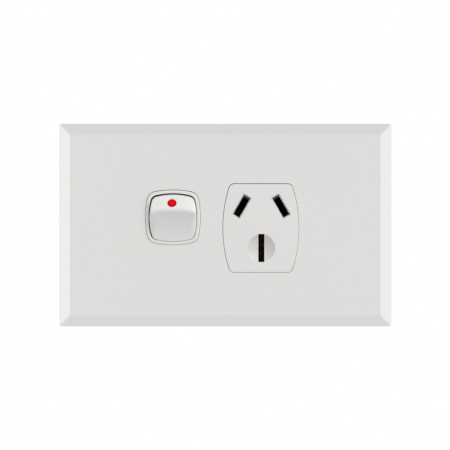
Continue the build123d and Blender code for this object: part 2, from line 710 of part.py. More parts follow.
def terminal_block(terminal):
    """Brass tunnel block with a wire bore, a threaded hole from the rear and a stake at the front."""
    x = TERMINALS[terminal]
    half = BLOCK_WIDTH / 2
    body = block((x - half, x + half), (STRIP_BACK_Y, BLOCK_Y), (BLOCK_LOW_Z, BLOCK_TOP_Z))
    body = chamfer(body.edges().filter_by(Axis.Z), BLOCK_EDGE)
    body -= rod_along_z(WIRE_BORE, x, BORE_Y, BLOCK_LOW_Z, BLOCK_TOP_Z)
    place = stake_place(terminal)
    body -= slab(disc(place, CLAMP_SCREW + 2 * CLAMP_CLEARANCE), BLOCK_Y, BORE_Y)
    return body + slab(disc(place, STAKE_DIAMETER), STRIP_BACK_Y, STRIP_Y)


def slotted_screw(place, tip, seat, back, shank, head, slot_width, slot_depth):
    """Screw along the depth with a slotted round head towards the rear."""
    cap = slab(disc(place, head), back, seat)
    cap = fillet(loop_edges(cap, back), HEAD_EDGE)
    slot = slab(Pos(*place) * Rectangle(head, slot_width), back, back - slot_depth)
    return slab(disc(place, shank), seat, tip) + (cap - slot)


def terminal_screw(terminal):
    """Clamping screw, backed out so that the wire bore is clear."""
    back = CLAMP_HEAD_Y + CLAMP_HEAD_HEIGHT
    return slotted_screw(
        stake_place(terminal), CLAMP_TIP_Y, CLAMP_HEAD_Y, back,
        CLAMP_SCREW, CLAMP_HEAD, CLAMP_SLOT, CLAMP_SLOT_DEPTH,
    )


def housing_screws():
    """Four like screws that go through the housing into the bosses of the frame."""
    tip = SEAT_Y - CASE_SCREW_GRIP + CASE_SCREW_CLEARANCE
    back = CASE_SEAT_Y + CASE_SCREW_HEAD_HEIGHT
    screws = [
        slotted_screw(
            place, tip, CASE_SEAT_Y, back,
            CASE_SCREW, CASE_SCREW_HEAD, CLAMP_SLOT, CASE_SCREW_HEAD_HEIGHT / 2,
        )
        for place in CASE_SCREW_PLACES
    ]
    return Compound(children=[screw.solid() for screw in screws])


def bay_dividers():
    """Barriers between the three terminals, and a low rib at each side of each block."""
    dividers = Part()
    half = BAY_WALL / 2
    xs = list(TERMINALS.values())
    for left, right in zip(xs, xs[1:]):
        x = (left + right) / 2
        dividers += block((x - half, x + half), (STRIP_Y, BARRIER_Y), (HOUSING_LOW_Z, BAY_Z))
    reach = BLOCK_WIDTH / 2 + BLOCK_CLEARANCE + RIB_THICK / 2
    for x in xs:
        for middle in (x - reach, x + reach):
            across = (middle - RIB_THICK / 2, middle + RIB_THICK / 2)
            dividers += block(across, (STRIP_Y, STRIP_BACK_Y + RIB_HEIGHT), (BLOCK_LOW_Z, BAY_Z))
    return dividers


def switch_cage():
    """Two walls beside the seesaw, each with a post that closes the bearing of a trunnion."""
    cage = Part()
    half = COLLAR_WALL / 2 - CAGE_CLEARANCE
    post = TRUNNION / 2 - TRUNNION_CLEARANCE
    for side in (-1, 1):
        x = SWITCH_X + side * COLLAR_HALF
        across = (x - half, x + half)
        cage += block(across, (0, HOUSING_INNER_Y), (SWITCH_Z - CAGE_REACH, SWITCH_Z + CAGE_REACH))
        post_tip = PIVOT_Y + TRUNNION / 2 + 2 * TRUNNION_CLEARANCE
        cage += block(across, (post_tip, 0), (SWITCH_Z - post, SWITCH_Z + post))
    stop_z = SWITCH_Z - LEVER_ARM
    stop_y = LEVER_Y + LEVER_THICK / 2 + CONTACT_GAP
    half = LEVER_WIDTH / 2
    across = (SWITCH_X - half, SWITCH_X + half)
    return cage + block(across, (stop_y, HOUSING_INNER_Y), (stop_z, stop_z + STOP_LENGTH))


def strip_supports():
    """Posts behind the strips where the seesaw and the fixed contact push on them."""
    posts = Part()
    for x in (SWITCH_X, LINE_X):
        for z in (SWITCH_Z, FIXED_TIP_Z):
            posts += slab(Pos(x, z) * Rectangle(STRIP_WIDTH, RIB_THICK), HOUSING_INNER_Y, STRIP_BACK_Y)
    return posts


def flange_posts():
    """Four posts that press the flange of the socket face against the frame."""
    posts = Part()
    out = SOCKET_END_WIDTH / 2 - FLANGE_POST / 2
    up = SOCKET_HEIGHT / 2 - FLANGE_POST / 2
    for x in (SOCKET_X - out, SOCKET_X + out):
        top = disc((x, SOCKET_FACE_Z + up), FLANGE_POST)
        low = disc((x, SOCKET_FACE_Z - up), FLANGE_POST)
        posts += slab(top, HOUSING_INNER_Y, FLANGE_Y) + slab(low, STRIP_Y - BAY_FLOOR, FLANGE_Y)
    return posts


def rear_housing():
    """Moulded box behind the wall, with a pocket for each contact and the terminal bay below."""
    full = (-HOUSING_HALF, HOUSING_HALF)
    inner = (HOUSING_WALL - HOUSING_HALF, HOUSING_HALF - HOUSING_WALL)
    room = housing_outline(-HOUSING_WALL)
    above_bay = (BAY_TOP_Z, HOUSING_TOP_Z)
    box = slab(housing_outline(0), BARRIER_Y, SEAT_Y)
    box -= block(full, (HOUSING_Y, BARRIER_Y), above_bay)
    box -= slab(room, STRIP_Y - BAY_FLOOR, SEAT_Y)
    box -= slab(room, HOUSING_INNER_Y, SEAT_Y) & block(full, (SEAT_Y, HOUSING_Y), above_bay)
    box -= block(inner, (STRIP_Y, BARRIER_Y), (HOUSING_LOW_Z, BAY_Z))
    box += bay_dividers() + switch_cage() + strip_supports() + flange_posts()
    for pin, (_, _, width) in PINS.items():
        along = width + 2 * POCKET_CLEARANCE + 2 * POCKET_WALL
        box += slab(pin_outline(pin, POCKET_FOOT + 2 * POCKET_WALL, along), HOUSING_INNER_Y, FLANGE_Y)
    for place in CASE_SCREW_PLACES:
        box += slab(disc(place, BOSS_DIAMETER), HOUSING_Y, SEAT_Y)
    for pin, (_, _, width) in PINS.items():
        box -= slab(pin_outline(pin, POCKET_FOOT, width + 2 * POCKET_CLEARANCE), STRIP_BACK_Y, FLANGE_Y)
    channel_width = STRIP_WIDTH + 2 * POCKET_CLEARANCE
    for route in STRIP_ROUTES.values():
        channel = slab(strip_outline(route, channel_width), STRIP_BACK_Y, FLANGE_Y)
        box -= channel & block(full, (FLANGE_Y, STRIP_BACK_Y), above_bay)
    half = channel_width / 2
    for x in TERMINALS.values():
        box -= block((x - half, x + half), (STRIP_Y, STRIP_BACK_Y + SLIT_CLEARANCE), (BAY_Z, BAY_TOP_Z))
    for place in CASE_SCREW_PLACES:
        box -= slab(disc(place, CASE_SCREW_HEAD + 2 * COUNTERBORE_CLEARANCE), HOUSING_Y, CASE_SEAT_Y)
        box -= slab(disc(place, CASE_SCREW + 2 * COUNTERBORE_CLEARANCE), CASE_SEAT_Y, SEAT_Y)
    return box


NODES = {
    "cover_plate": cover_plate(),
    "mounting_frame": mounting_frame(),
    "socket_face": socket_face(),
    "rocker": rocker(),
    "indicator_dot": indicator_dot(),
    "plunger": plunger(),
    "plunger_spring": plunger_spring(),
    "contact_lever": contact_lever(),
    "lever_tip": lever_tip(),
    "fixed_strip": fixed_strip(),
    "fixed_tip": fixed_tip(),
    "active_contact": active_contact(),
    "neutral_contact": pin_contact("neutral"),
    "earth_contact": pin_contact("earth"),
    "rear_housing": rear_housing(),
    "housing_screws": housing_screws(),
}
for terminal in TERMINALS:
    NODES[f"{terminal}_terminal"] = terminal_block(terminal)
    NODES[f"{terminal}_terminal_screw"] = terminal_screw(terminal)

os.makedirs("parts", exist_ok=True)
for name, shape in NODES.items():
    export_step(shape, f"parts/{name}.step")
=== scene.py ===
"""Single power outlet with a rocker switch, dressed for a plain front view."""

import json
import math

import bmesh
import bpy
from mathutils import Matrix, Vector


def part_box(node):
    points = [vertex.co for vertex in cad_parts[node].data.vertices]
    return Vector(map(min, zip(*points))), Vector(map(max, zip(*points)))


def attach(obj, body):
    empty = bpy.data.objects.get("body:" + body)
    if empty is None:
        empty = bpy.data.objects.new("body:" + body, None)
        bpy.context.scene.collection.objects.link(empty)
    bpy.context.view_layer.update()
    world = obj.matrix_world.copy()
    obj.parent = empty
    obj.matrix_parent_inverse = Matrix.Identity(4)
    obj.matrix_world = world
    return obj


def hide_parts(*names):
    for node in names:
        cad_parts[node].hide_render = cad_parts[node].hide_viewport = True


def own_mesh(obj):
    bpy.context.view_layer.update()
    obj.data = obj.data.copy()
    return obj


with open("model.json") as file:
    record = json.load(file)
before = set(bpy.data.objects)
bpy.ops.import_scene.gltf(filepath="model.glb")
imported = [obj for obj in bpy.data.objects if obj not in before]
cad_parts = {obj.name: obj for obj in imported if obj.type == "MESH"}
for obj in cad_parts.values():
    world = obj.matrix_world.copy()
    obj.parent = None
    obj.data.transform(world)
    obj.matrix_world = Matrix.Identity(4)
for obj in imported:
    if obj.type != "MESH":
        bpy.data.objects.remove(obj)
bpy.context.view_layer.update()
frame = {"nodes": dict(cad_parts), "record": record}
NODES = frame["nodes"]
SCENE = bpy.context.scene

# Camera: straight on, centred on the plate
IMAGE_PIXELS = 450
PLATE_WIDTH = 0.1165
PLATE_PIXELS = 332.5
PLATE_CENTRE_PIXEL = (225.25, 225.1)
CAMERA_DISTANCE = 1.2
SHOULDER_Y = -0.0035
SENSOR_MM = 36.0

# Light: an even world, strips at both sides of the plate, and a key and a fill for the pieces that stand in it
WORLD_LEVEL = 0.742
STRIP_ANGLE = 72.0
STRIP_DISTANCE = 0.93
STRIP_WIDTH = 0.25
STRIP_LENGTH = 1.0
PLATE_SIDE_POWER = 4.0
BEAD_SHADOW = 0.4  # share of the right strip that the collar shades
KEY_PLACE = (0.765, -0.524, 0.76)
KEY_SIZE = 0.3
KEY_POWER = 7.25
INSET_FILL = 0.8
INSET_PIECES = ("rocker", "indicator_dot", "mounting_frame", "socket_face")

# Floor, well below the plate
FLOOR_DROP = 0.26
FLOOR_SIZE = 2.4
FLOOR_GREY = (0.9, 0.9, 0.9, 1.0)
FLOOR_GLOW = 0.08
FLOOR_WHITE = 0.38

# Moulded plastic
SKIN_CLOUD_SCALE = 45.0
SKIN_ROUGHNESS_SPREAD = 0.12
SKIN_BUMP_DISTANCE = 0.00002
# Painted shade in recesses: samples and reach of the occlusion that darkens colours
RECESS_SAMPLES = 16
RECESS_REACH = 0.012

# Rolled, turned or plated metal
TARNISH_SCALE = 320.0
TARNISH_START = 0.4
TARNISH_FULL = 0.7
TARNISH_DULLING = 0.2
STREAK_CONTRAST = 0.3
METAL_BUMP = 0.15
METAL_BUMP_DISTANCE = 0.00001
ROLLED_STREAKS = (5000.0, 5000.0, 250.0)
TURNED_STREAKS = (300.0, 5000.0, 5000.0)
EVEN_STREAKS = (3000.0, 3000.0, 3000.0)
PLATED_STREAKS = (2500.0, 2500.0, 2500.0)

# Painted shade in the dish round the earth slot
DISH_CENTRE = (0.0126, -0.00865, -0.008)
DISH_RADIUS = 0.0047
DISH_EDGE = 0.0003
DISH_SHADE = 1.8

# Darker ring of the red dot
DOT_RIM_START = 0.0007
DOT_RIM_FULL = 0.00135

# Front of the rocker, in millimetres about its pivot: a brow above a scoop, with a ridge between them
ROCKER_PIVOT = (-0.01818, -0.007, 0.002635)
ROCKER_LEAN = 5.0
ROCKER_HALF = 8.2
ROCKER_EDGE_AHEAD = 2.3
BROW_SLOPE = math.tan(math.radians(37.0))
SCOOP_RADIUS = 30.0
SCOOP_AHEAD = 32.137
SCOOP_DROP = 11.318
RIDGE_BLEND = 1.08

# Changes to that front: an arched ridge, rolled side edges below it, and a slight drop of it all
RIDGE_ARCH = 1.2
RIDGE_ARCH_START = 2.0
EDGE_ROLL = 0.75
EDGE_ROLL_START = 5.8
EDGE_ROLL_TOP = 3.0
ROCKER_SETTLE = 0.12
CHANGE_END = 3.5  # how far behind the front the walls stop following
CHANGE_FADE = 2.55
CUT_ACROSS = 0.4
CUTS_ACROSS = range(-20, 21)
CUT_UP = 0.2
CUTS_UP = range(1, 27)

# Spring behind the plunger, in millimetres about the rocker's pivot, with close turns at both ends
SPRING_START = -1.275
SPRING_LENGTH = 4.05
SPRING_RADIUS = 1.2
SPRING_WIRE_RADIUS = 0.225
SPRING_TURNS = 5.0
SPRING_CLOSE_TURNS = 0.75
SPRING_CLOSE_PITCH = 0.47
SPRING_STEPS = 28
SPRING_LOOK = 0.001  # part of a turn over which the wire's direction is taken
WIRE_FACETS = 10

# Clamp screws of the terminals
SCREW_CREST = 0.00199
SCREW_THREAD_DEPTH = 0.00038
SCREW_PITCH = 0.0007
SCREW_CREST_SHARE = 0.15
SCREW_FLANK_SHARE = 0.6
SCREW_HEAD_RADIUS = 0.0031
SCREW_HEAD_HEIGHT = 0.0022
SCREW_HEAD_EDGE = 0.0003
SCREW_EDGE_STEPS = 4
SCREW_SLOT_WIDTH = 0.001
SCREW_SLOT_DEPTH = 0.0011
SCREW_POINT = 0.0005
SCREW_POINT_TAPER = 0.8
SCREW_FACETS = 48
SCREW_STEPS = 12

# Edges sharper than this stay sharp, in degrees
MOULDED_CREASE = 35
WIRE_CREASE = 50


def srgb(red, green, blue):
    """Colour written as screen values, turned into the linear values that shaders use."""
    def linear(value):
        share = value / 255
        return share / 12.92 if share <= 0.04045 else ((share + 0.055) / 1.055) ** 2.4
    return (linear(red), linear(green), linear(blue), 1.0)


COVER_WHITE = srgb(222, 221, 219)
MOULDING_WHITE = srgb(212, 211, 207)
DOT_RED = srgb(248, 4, 10)
DOT_RIM_RED = srgb(165, 4, 10)
ROLLED_BRASS = srgb(190, 152, 88)
ROLLED_TARNISH = srgb(120, 84, 44)


def clamped(value):
    """Value kept between 0 and 1."""
    return min(1.0, max(0.0, value))


def new_material(name):
    """Empty node material with its Principled shader and output."""
    material = bpy.data.materials.new(name)
    material.use_nodes = True
    nodes = material.node_tree.nodes
    nodes.clear()
    shader = nodes.new("ShaderNodeBsdfPrincipled")
    output = nodes.new("ShaderNodeOutputMaterial")
    material.node_tree.links.new(shader.outputs["BSDF"], output.inputs["Surface"])
    return material, shader


def new_group(name, inputs, outputs):
    """Shader node group with named sockets. Each input is (name, kind, value)."""
    group = bpy.data.node_groups.new(name, "ShaderNodeTree")
    for socket, kind, value in inputs:
        made = group.interface.new_socket(socket, in_out="INPUT", socket_type=kind)
        made.default_value = value
    for socket, kind in outputs:
        group.interface.new_socket(socket, in_out="OUTPUT", socket_type=kind)
    enter = group.nodes.new("NodeGroupInput")
    leave = group.nodes.new("NodeGroupOutput")
    return group, enter, leave


def use_group(nodes, group, name, values):
    """Group placed in a material, with its own values."""
    use = nodes.new("ShaderNodeGroup")
    use.node_tree = group
    use.name = name
    for socket, value in values.items():
        use.inputs[socket].default_value = value
    return use


def math_node(nodes, links, operation, first, second):
    """Math node with each side either a value or a socket."""
    node = nodes.new("ShaderNodeMath")
    node.operation = operation
    for place, value in ((0, first), (1, second)):
        if isinstance(value, (int, float)):
            node.inputs[place].default_value = value
        else:
            links.new(value, node.inputs[place])
    return node.outputs[0]


def noise_node(nodes, links, vector, scale, detail):
    """Noise over a vector, at a scale that is a value or a socket."""
    node = nodes.new("ShaderNodeTexNoise")
    node.inputs["Detail"].default_value = detail
    links.new(vector, node.inputs["Vector"])
    if isinstance(scale, (int, float)):
        node.inputs["Scale"].default_value = scale
    else:
        links.new(scale, node.inputs["Scale"])
    return node.outputs["Fac"]


def scaled_colour(nodes, links, colour, level):
    """Colour made lighter or darker by a level."""
    node = nodes.new("ShaderNodeVectorMath")
    node.operation = "SCALE"
    links.new(colour, node.inputs[0])
    links.new(level, node.inputs["Scale"])
    return node.outputs["Vector"]


def mixed_colour(nodes, links, mask, first, second):
    """Two colours mixed by a mask, each a value or a socket."""
    node = nodes.new("ShaderNodeMix")
    node.data_type = "RGBA"
    links.new(mask, node.inputs["Factor"])
    for place, value in ((6, first), (7, second)):
        if isinstance(value, tuple):
            node.inputs[place].default_value = value
        else:
            links.new(value, node.inputs[place])
    return node.outputs[2]


def moulded_skin_group():
    """Fine skin of moulded plastic: a faint grain height, and colour and roughness that drift a little."""
    group, enter, leave = new_group(
        "moulded_skin",
        [
            ("Colour", "NodeSocketColor", (0.8, 0.8, 0.8, 1.0)),
            ("Drift", "NodeSocketFloat", 0.01),
            ("Roughness", "NodeSocketFloat", 0.3),
            ("Grain", "NodeSocketFloat", 6000.0),
        ],
        [("Colour", "NodeSocketColor"), ("Roughness", "NodeSocketFloat"), ("Height", "NodeSocketFloat")],
    )
    nodes, links = group.nodes, group.links
    place = nodes.new("ShaderNodeTexCoord").outputs["Object"]
    grain = noise_node(nodes, links, place, enter.outputs["Grain"], 2.0)
    cloud = noise_node(nodes, links, place, SKIN_CLOUD_SCALE, 3.0)
    centred = math_node(nodes, links, "SUBTRACT", cloud, 0.5)
    shift = math_node(nodes, links, "MULTIPLY", centred, enter.outputs["Drift"])
    level = math_node(nodes, links, "ADD", shift, 1.0)
    links.new(scaled_colour(nodes, links, enter.outputs["Colour"], level), leave.inputs["Colour"])
    speck = math_node(nodes, links, "SUBTRACT", grain, 0.5)
    spread = math_node(nodes, links, "MULTIPLY", speck, SKIN_ROUGHNESS_SPREAD)
    links.new(math_node(nodes, links, "ADD", enter.outputs["Roughness"], spread), leave.inputs["Roughness"])
    links.new(grain, leave.inputs["Height"])
    return group


def worked_metal_group():
    """Rolled, turned or plated metal: fine streaks one way, and a tarnish in clouds."""
    group, enter, leave = new_group(
        "worked_metal",
        [
            ("Colour", "NodeSocketColor", (0.8, 0.8, 0.8, 1.0)),
            ("Tarnish", "NodeSocketColor", (0.3, 0.3, 0.3, 1.0)),
            ("Amount", "NodeSocketFloat", 0.4),
            ("Roughness", "NodeSocketFloat", 0.3),
            ("Streaks", "NodeSocketVector", (4000.0, 4000.0, 300.0)),
        ],
        [("Colour", "NodeSocketColor"), ("Roughness", "NodeSocketFloat"), ("Height", "NodeSocketFloat")],
    )
    nodes, links = group.nodes, group.links
    place = nodes.new("ShaderNodeTexCoord").outputs["Object"]
    stretch = nodes.new("ShaderNodeVectorMath")
    stretch.operation = "MULTIPLY"
    links.new(place, stretch.inputs[0])
    links.new(enter.outputs["Streaks"], stretch.inputs[1])
    streak = noise_node(nodes, links, stretch.outputs["Vector"], 1.0, 3.0)
    cloud = noise_node(nodes, links, place, TARNISH_SCALE, 4.0)
    cover = nodes.new("ShaderNodeMapRange")
    cover.inputs["From Min"].default_value = TARNISH_START
    cover.inputs["From Max"].default_value = TARNISH_FULL
    links.new(cloud, cover.inputs["Value"])
    mask = math_node(nodes, links, "MULTIPLY", cover.outputs["Result"], enter.outputs["Amount"])
    colour = mixed_colour(nodes, links, mask, enter.outputs["Colour"], enter.outputs["Tarnish"])
    centred = math_node(nodes, links, "SUBTRACT", streak, 0.5)
    lift = math_node(nodes, links, "MULTIPLY", centred, STREAK_CONTRAST)
    level = math_node(nodes, links, "ADD", lift, 1.0)
    links.new(scaled_colour(nodes, links, colour, level), leave.inputs["Colour"])
    dull = math_node(nodes, links, "MULTIPLY", mask, TARNISH_DULLING)
    rough = math_node(nodes, links, "ADD", enter.outputs["Roughness"], math_node(nodes, links, "ADD", dull, lift))
    links.new(rough, leave.inputs["Roughness"])
    links.new(streak, leave.inputs["Height"])
    return group


def painted_recess_shade_group():
    """Painted shade: colour darkened where a surface lies deep, 1 in the open, less in slots, dishes and pockets.
    """
    group, enter, leave = new_group(
        "recess_shade",
        [("Reach", "NodeSocketFloat", 0.01), ("Depth", "NodeSocketFloat", 1.0)],
        [("Shade", "NodeSocketFloat")],
    )
    nodes, links = group.nodes, group.links
    hidden = nodes.new("ShaderNodeAmbientOcclusion")
    hidden.samples = RECESS_SAMPLES
    links.new(enter.outputs["Reach"], hidden.inputs["Distance"])
    shade = math_node(nodes, links, "POWER", hidden.outputs["AO"], enter.outputs["Depth"])
    links.new(shade, leave.inputs["Shade"])
    return group


def far_group():
    """Mask that is 0 near a point and 1 away from it."""
    group, enter, leave = new_group(
        "far_from_point",
        [
            ("Centre", "NodeSocketVector", (0.0, 0.0, 0.0)),
            ("Near", "NodeSocketFloat", 0.001),
            ("Far", "NodeSocketFloat", 0.002),
        ],
        [("Mask", "NodeSocketFloat")],
    )
    nodes, links = group.nodes, group.links
    away = nodes.new("ShaderNodeVectorMath")
    away.operation = "DISTANCE"
    links.new(nodes.new("ShaderNodeTexCoord").outputs["Object"], away.inputs[0])
    links.new(enter.outputs["Centre"], away.inputs[1])
    mask = nodes.new("ShaderNodeMapRange")
    mask.interpolation_type = "SMOOTHSTEP"
    links.new(away.outputs["Value"], mask.inputs["Value"])
    links.new(enter.outputs["Near"], mask.inputs["From Min"])
    links.new(enter.outputs["Far"], mask.inputs["From Max"])
    links.new(mask.outputs["Result"], leave.inputs["Mask"])
    return group


def finish_surface(material, shader, surface, recess, bump, bump_distance):
    """Lead the colour, roughness and height of a surface group to the shader, with painted shade darkening the
    colour in recesses if asked.
    """
    nodes, links = material.node_tree.nodes, material.node_tree.links
    colour = surface.outputs["Colour"]
    if recess:
        colour = scaled_colour(nodes, links, colour, recess.outputs["Shade"])
    links.new(colour, shader.inputs["Base Color"])
    links.new(surface.outputs["Roughness"], shader.inputs["Roughness"])
    relief = nodes.new("ShaderNodeBump")
    relief.inputs["Strength"].default_value = bump
    relief.inputs["Distance"].default_value = bump_distance
    links.new(surface.outputs["Height"], relief.inputs["Height"])
    links.new(relief.outputs["Normal"], shader.inputs["Normal"])


def add_painted_shade(nodes, reach, depth):
    """Painted recess shade in a material, or nothing where its depth is 0."""
    if not depth:
        return None
    return use_group(nodes, PAINTED_RECESS_SHADE, "recess", {"Reach": reach, "Depth": depth})


def plastic(name, colour, roughness, grain, bump, drift, specular, recess_depth=0.0):
    """Moulded plastic with the shared skin."""
    material, shader = new_material(name)
    nodes = material.node_tree.nodes
    surface = use_group(
        nodes, MOULDED_SKIN, "skin",
        {"Colour": colour, "Drift": drift, "Roughness": roughness, "Grain": grain},
    )
    recess = add_painted_shade(nodes, RECESS_REACH, recess_depth)
    finish_surface(material, shader, surface, recess, bump, SKIN_BUMP_DISTANCE)
    shader.inputs["Specular IOR Level"].default_value = specular
    return material


def metal(name, colour, tarnish, amount, roughness, streaks, recess_depth=0.0, recess_reach=RECESS_REACH):
    """Metal with the shared worked surface."""
    material, shader = new_material(name)
    nodes = material.node_tree.nodes
    surface = use_group(
        nodes, WORKED_METAL, "surface",
        {"Colour": colour, "Tarnish": tarnish, "Amount": amount, "Roughness": roughness, "Streaks": streaks},
    )
    recess = add_painted_shade(nodes, recess_reach, recess_depth)
    finish_surface(material, shader, surface, recess, METAL_BUMP, METAL_BUMP_DISTANCE)
    shader.inputs["Metallic"].default_value = 1.0
    return material


def rolled_brass(name, recess_depth):
    """Brass strip of the contacts, with painted shade darkening it in their pockets."""
    return metal(
        name, ROLLED_BRASS, ROLLED_TARNISH, amount=0.6, roughness=0.35, streaks=ROLLED_STREAKS,
        recess_depth=recess_depth,
    )


def white_socket_satin():
    """Satin white of the socket face, with painted shade darkening its dish."""
    material = plastic(
        "white_socket_satin", COVER_WHITE, roughness=0.45, grain=9000.0, bump=0.05, drift=0.004, specular=0.3,
        recess_depth=DISH_SHADE,
    )
    nodes, links = material.node_tree.nodes, material.node_tree.links
    open_face = use_group(
        nodes, FAR_MASK, "open_face",
        {"Centre": DISH_CENTRE, "Near": DISH_RADIUS, "Far": DISH_RADIUS + DISH_EDGE},
    )
    dish = math_node(nodes, links, "SUBTRACT", 1.0, open_face.outputs["Mask"])
    links.new(math_node(nodes, links, "MULTIPLY", dish, DISH_SHADE), nodes["recess"].inputs["Depth"])
    return material


def red_dot_ink():
    """Red of the dot, a little darker in a ring at its rim."""
    material = plastic(
        "red_dot_ink", DOT_RED, roughness=0.4, grain=9000.0, bump=0.05, drift=0.01, specular=0.02,
    )
    nodes, links = material.node_tree.nodes, material.node_tree.links
    low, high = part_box("indicator_dot")
    centre = (Vector(low) + Vector(high)) / 2
    rim = use_group(nodes, FAR_MASK, "rim", {"Centre": centre, "Near": DOT_RIM_START, "Far": DOT_RIM_FULL})
    ink = mixed_colour(nodes, links, rim.outputs["Mask"], DOT_RED, DOT_RIM_RED)
    links.new(ink, nodes["skin"].inputs["Colour"])
    return material


def dress(slot_materials, node_materials):
    """Give each node the material of its slot, or its own where it has one."""
    slots = {part["node"]: part["material_slot"] for part in frame["record"]["subparts"]}
    for name, node in NODES.items():
        node.data.materials.clear()
        node.data.materials.append(node_materials.get(name, slot_materials[slots[name]]))


def smooth_mesh(mesh, crease):
    """Shade a mesh smooth between the edges that are sharper than a crease."""
    mesh.polygons.foreach_set("use_smooth", [True] * len(mesh.polygons))
    mesh.set_sharp_from_angle(angle=math.radians(crease))


def mesh_of(shape, name):
    """Mesh of a finished shape, which is freed."""
    mesh = bpy.data.meshes.new(name)
    shape.to_mesh(mesh)
    shape.free()
    return mesh


def new_piece(name, mesh):
    """Object of a mesh, in the scene."""
    piece = bpy.data.objects.new(name, mesh)
    SCENE.collection.objects.link(piece)
    return piece


def moulded_piece(name, shape, material, crease):
    """Smooth object of a finished shape, in its material."""
    mesh = mesh_of(shape, name)
    smooth_mesh(mesh, crease)
    mesh.materials.append(material)
    return new_piece(name, mesh)


def join_loops(shape, loops):
    """Skin over a row of loops of corners, closed at both ends."""
    for lower, upper in zip(loops, loops[1:]):
        for facet, corner in enumerate(lower):
            after = (facet + 1) % len(lower)
            shape.faces.new((corner, upper[facet], upper[after], lower[after]))
    shape.faces.new(loops[0])
    shape.faces.new(list(reversed(loops[-1])))
    bmesh.ops.recalc_face_normals(shape, faces=shape.faces)


def rocker_rest():
    """From millimetres about the rocker's pivot to the place where it rests."""
    lean = Matrix.Rotation(math.radians(ROCKER_LEAN), 4, "X")
    return Matrix.Translation(ROCKER_PIVOT) @ lean @ Matrix.Scale(0.001, 4)


def rocker_ahead(z):
    """How far the front of the rocker stands ahead of its pivot at a height."""
    brow = ROCKER_EDGE_AHEAD + (ROCKER_HALF - z) * BROW_SLOPE
    scoop = SCOOP_AHEAD - math.sqrt(SCOOP_RADIUS**2 - (z + SCOOP_DROP) ** 2)
    blend = max(RIDGE_BLEND - abs(brow - scoop), 0.0) / RIDGE_BLEND
    return min(brow, scoop) - blend**2 * RIDGE_BLEND / 4


def towards_side(x, start):
    """Share of a change that grows from a distance off the middle to the sides of the rocker."""
    return (max(abs(x) - start, 0.0) / (ROCKER_HALF - start)) ** 2


def reshaped_front(place):
    """Point of the rocker after the changes to its front, with its walls following."""
    x, y, z = place
    drop = RIDGE_ARCH * towards_side(x, RIDGE_ARCH_START)
    roll = EDGE_ROLL * clamped((EDGE_ROLL_TOP - z) / EDGE_ROLL_TOP) * towards_side(x, EDGE_ROLL_START)
    behind = rocker_ahead(z) + y
    follow = clamped((CHANGE_END - behind) / CHANGE_FADE)
    back = roll - rocker_ahead(z + drop) + rocker_ahead(z)
    return Vector((x, y + back * follow, z - ROCKER_SETTLE * follow))


def arched_rocker(material):
    """Rocker whose ridge bends down at both ends, with rolled side edges below it."""
    shape = bmesh.new()
    shape.from_mesh(NODES["rocker"].data)
    rest = rocker_rest()
    bmesh.ops.transform(shape, matrix=rest.inverted(), verts=shape.verts)
    bmesh.ops.remove_doubles(shape, verts=shape.verts, dist=1e-4)
    cuts = [((CUT_ACROSS * step, 0, 0), (1, 0, 0)) for step in CUTS_ACROSS]
    cuts += [((0, 0, CUT_UP * step), (0, 0, 1)) for step in CUTS_UP]
    for centre, across in cuts:
        parts = shape.verts[:] + shape.edges[:] + shape.faces[:]
        bmesh.ops.bisect_plane(shape, geom=parts, plane_co=centre, plane_no=across, dist=1e-5)
    bmesh.ops.triangulate(shape, faces=shape.faces)
    for corner in shape.verts:
        corner.co = reshaped_front(corner.co)
    bmesh.ops.transform(shape, matrix=rest, verts=shape.verts)
    rocker = moulded_piece("rocker_arched", shape, material, MOULDED_CREASE)
    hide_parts("rocker")
    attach(rocker, "rocker")
    return rocker


def settled_dot(material):
    """Red dot, let down with the front of the rocker that holds it."""
    shape = bmesh.new()
    shape.from_mesh(NODES["indicator_dot"].data)
    bmesh.ops.remove_doubles(shape, verts=shape.verts, dist=1e-7)
    drop = rocker_rest().to_3x3() @ Vector((0, 0, -ROCKER_SETTLE))
    bmesh.ops.translate(shape, vec=drop, verts=shape.verts)
    dot = moulded_piece("indicator_dot_settled", shape, material, MOULDED_CREASE)
    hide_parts("indicator_dot")
    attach(dot, "rocker")
    return dot


def spring_point(turn):
    """Point on the centre line of the spring's wire after some turns."""
    open_turns = SPRING_TURNS - 2 * SPRING_CLOSE_TURNS
    opened = min(max(turn - SPRING_CLOSE_TURNS, 0.0), open_turns)
    open_pitch = (SPRING_LENGTH - 2 * SPRING_CLOSE_TURNS * SPRING_CLOSE_PITCH) / open_turns
    along = SPRING_START + opened * open_pitch + (turn - opened) * SPRING_CLOSE_PITCH
    angle = math.tau * turn
    return Vector((SPRING_RADIUS * math.cos(angle), along, SPRING_RADIUS * math.sin(angle)))


def wire_ring(turn):
    """Corners of the spring's round wire after some turns."""
    centre = spring_point(turn)
    out = Vector((centre.x, 0, centre.z)).normalized()
    ahead = spring_point(turn + SPRING_LOOK) - spring_point(turn - SPRING_LOOK)
    side = ahead.cross(out).normalized()
    angles = [math.tau * facet / WIRE_FACETS for facet in range(WIRE_FACETS)]
    return [centre + SPRING_WIRE_RADIUS * (out * math.cos(angle) + side * math.sin(angle)) for angle in angles]


def wound_spring(material):
    """Spring of round wire behind the plunger, wound at its length at rest."""
    low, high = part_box("plunger_spring")
    rest = rocker_rest()
    rest.translation.x = (low[0] + high[0]) / 2
    shape = bmesh.new()
    turns = [step / SPRING_STEPS for step in range(round(SPRING_TURNS * SPRING_STEPS) + 1)]
    join_loops(shape, [[shape.verts.new(rest @ corner) for corner in wire_ring(turn)] for turn in turns])
    spring = moulded_piece("plunger_spring_wound", shape, material, WIRE_CREASE)
    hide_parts("plunger_spring")
    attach(spring, "rocker")
    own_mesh(spring)
    return spring


def thread_gap(turn):
    """How deep a thread is at a share of one turn: 0 on the crest, 1 in the root."""
    away = abs(turn % 1.0 - 0.5) * 2
    return clamped((1 - SCREW_CREST_SHARE - away) / SCREW_FLANK_SHARE)


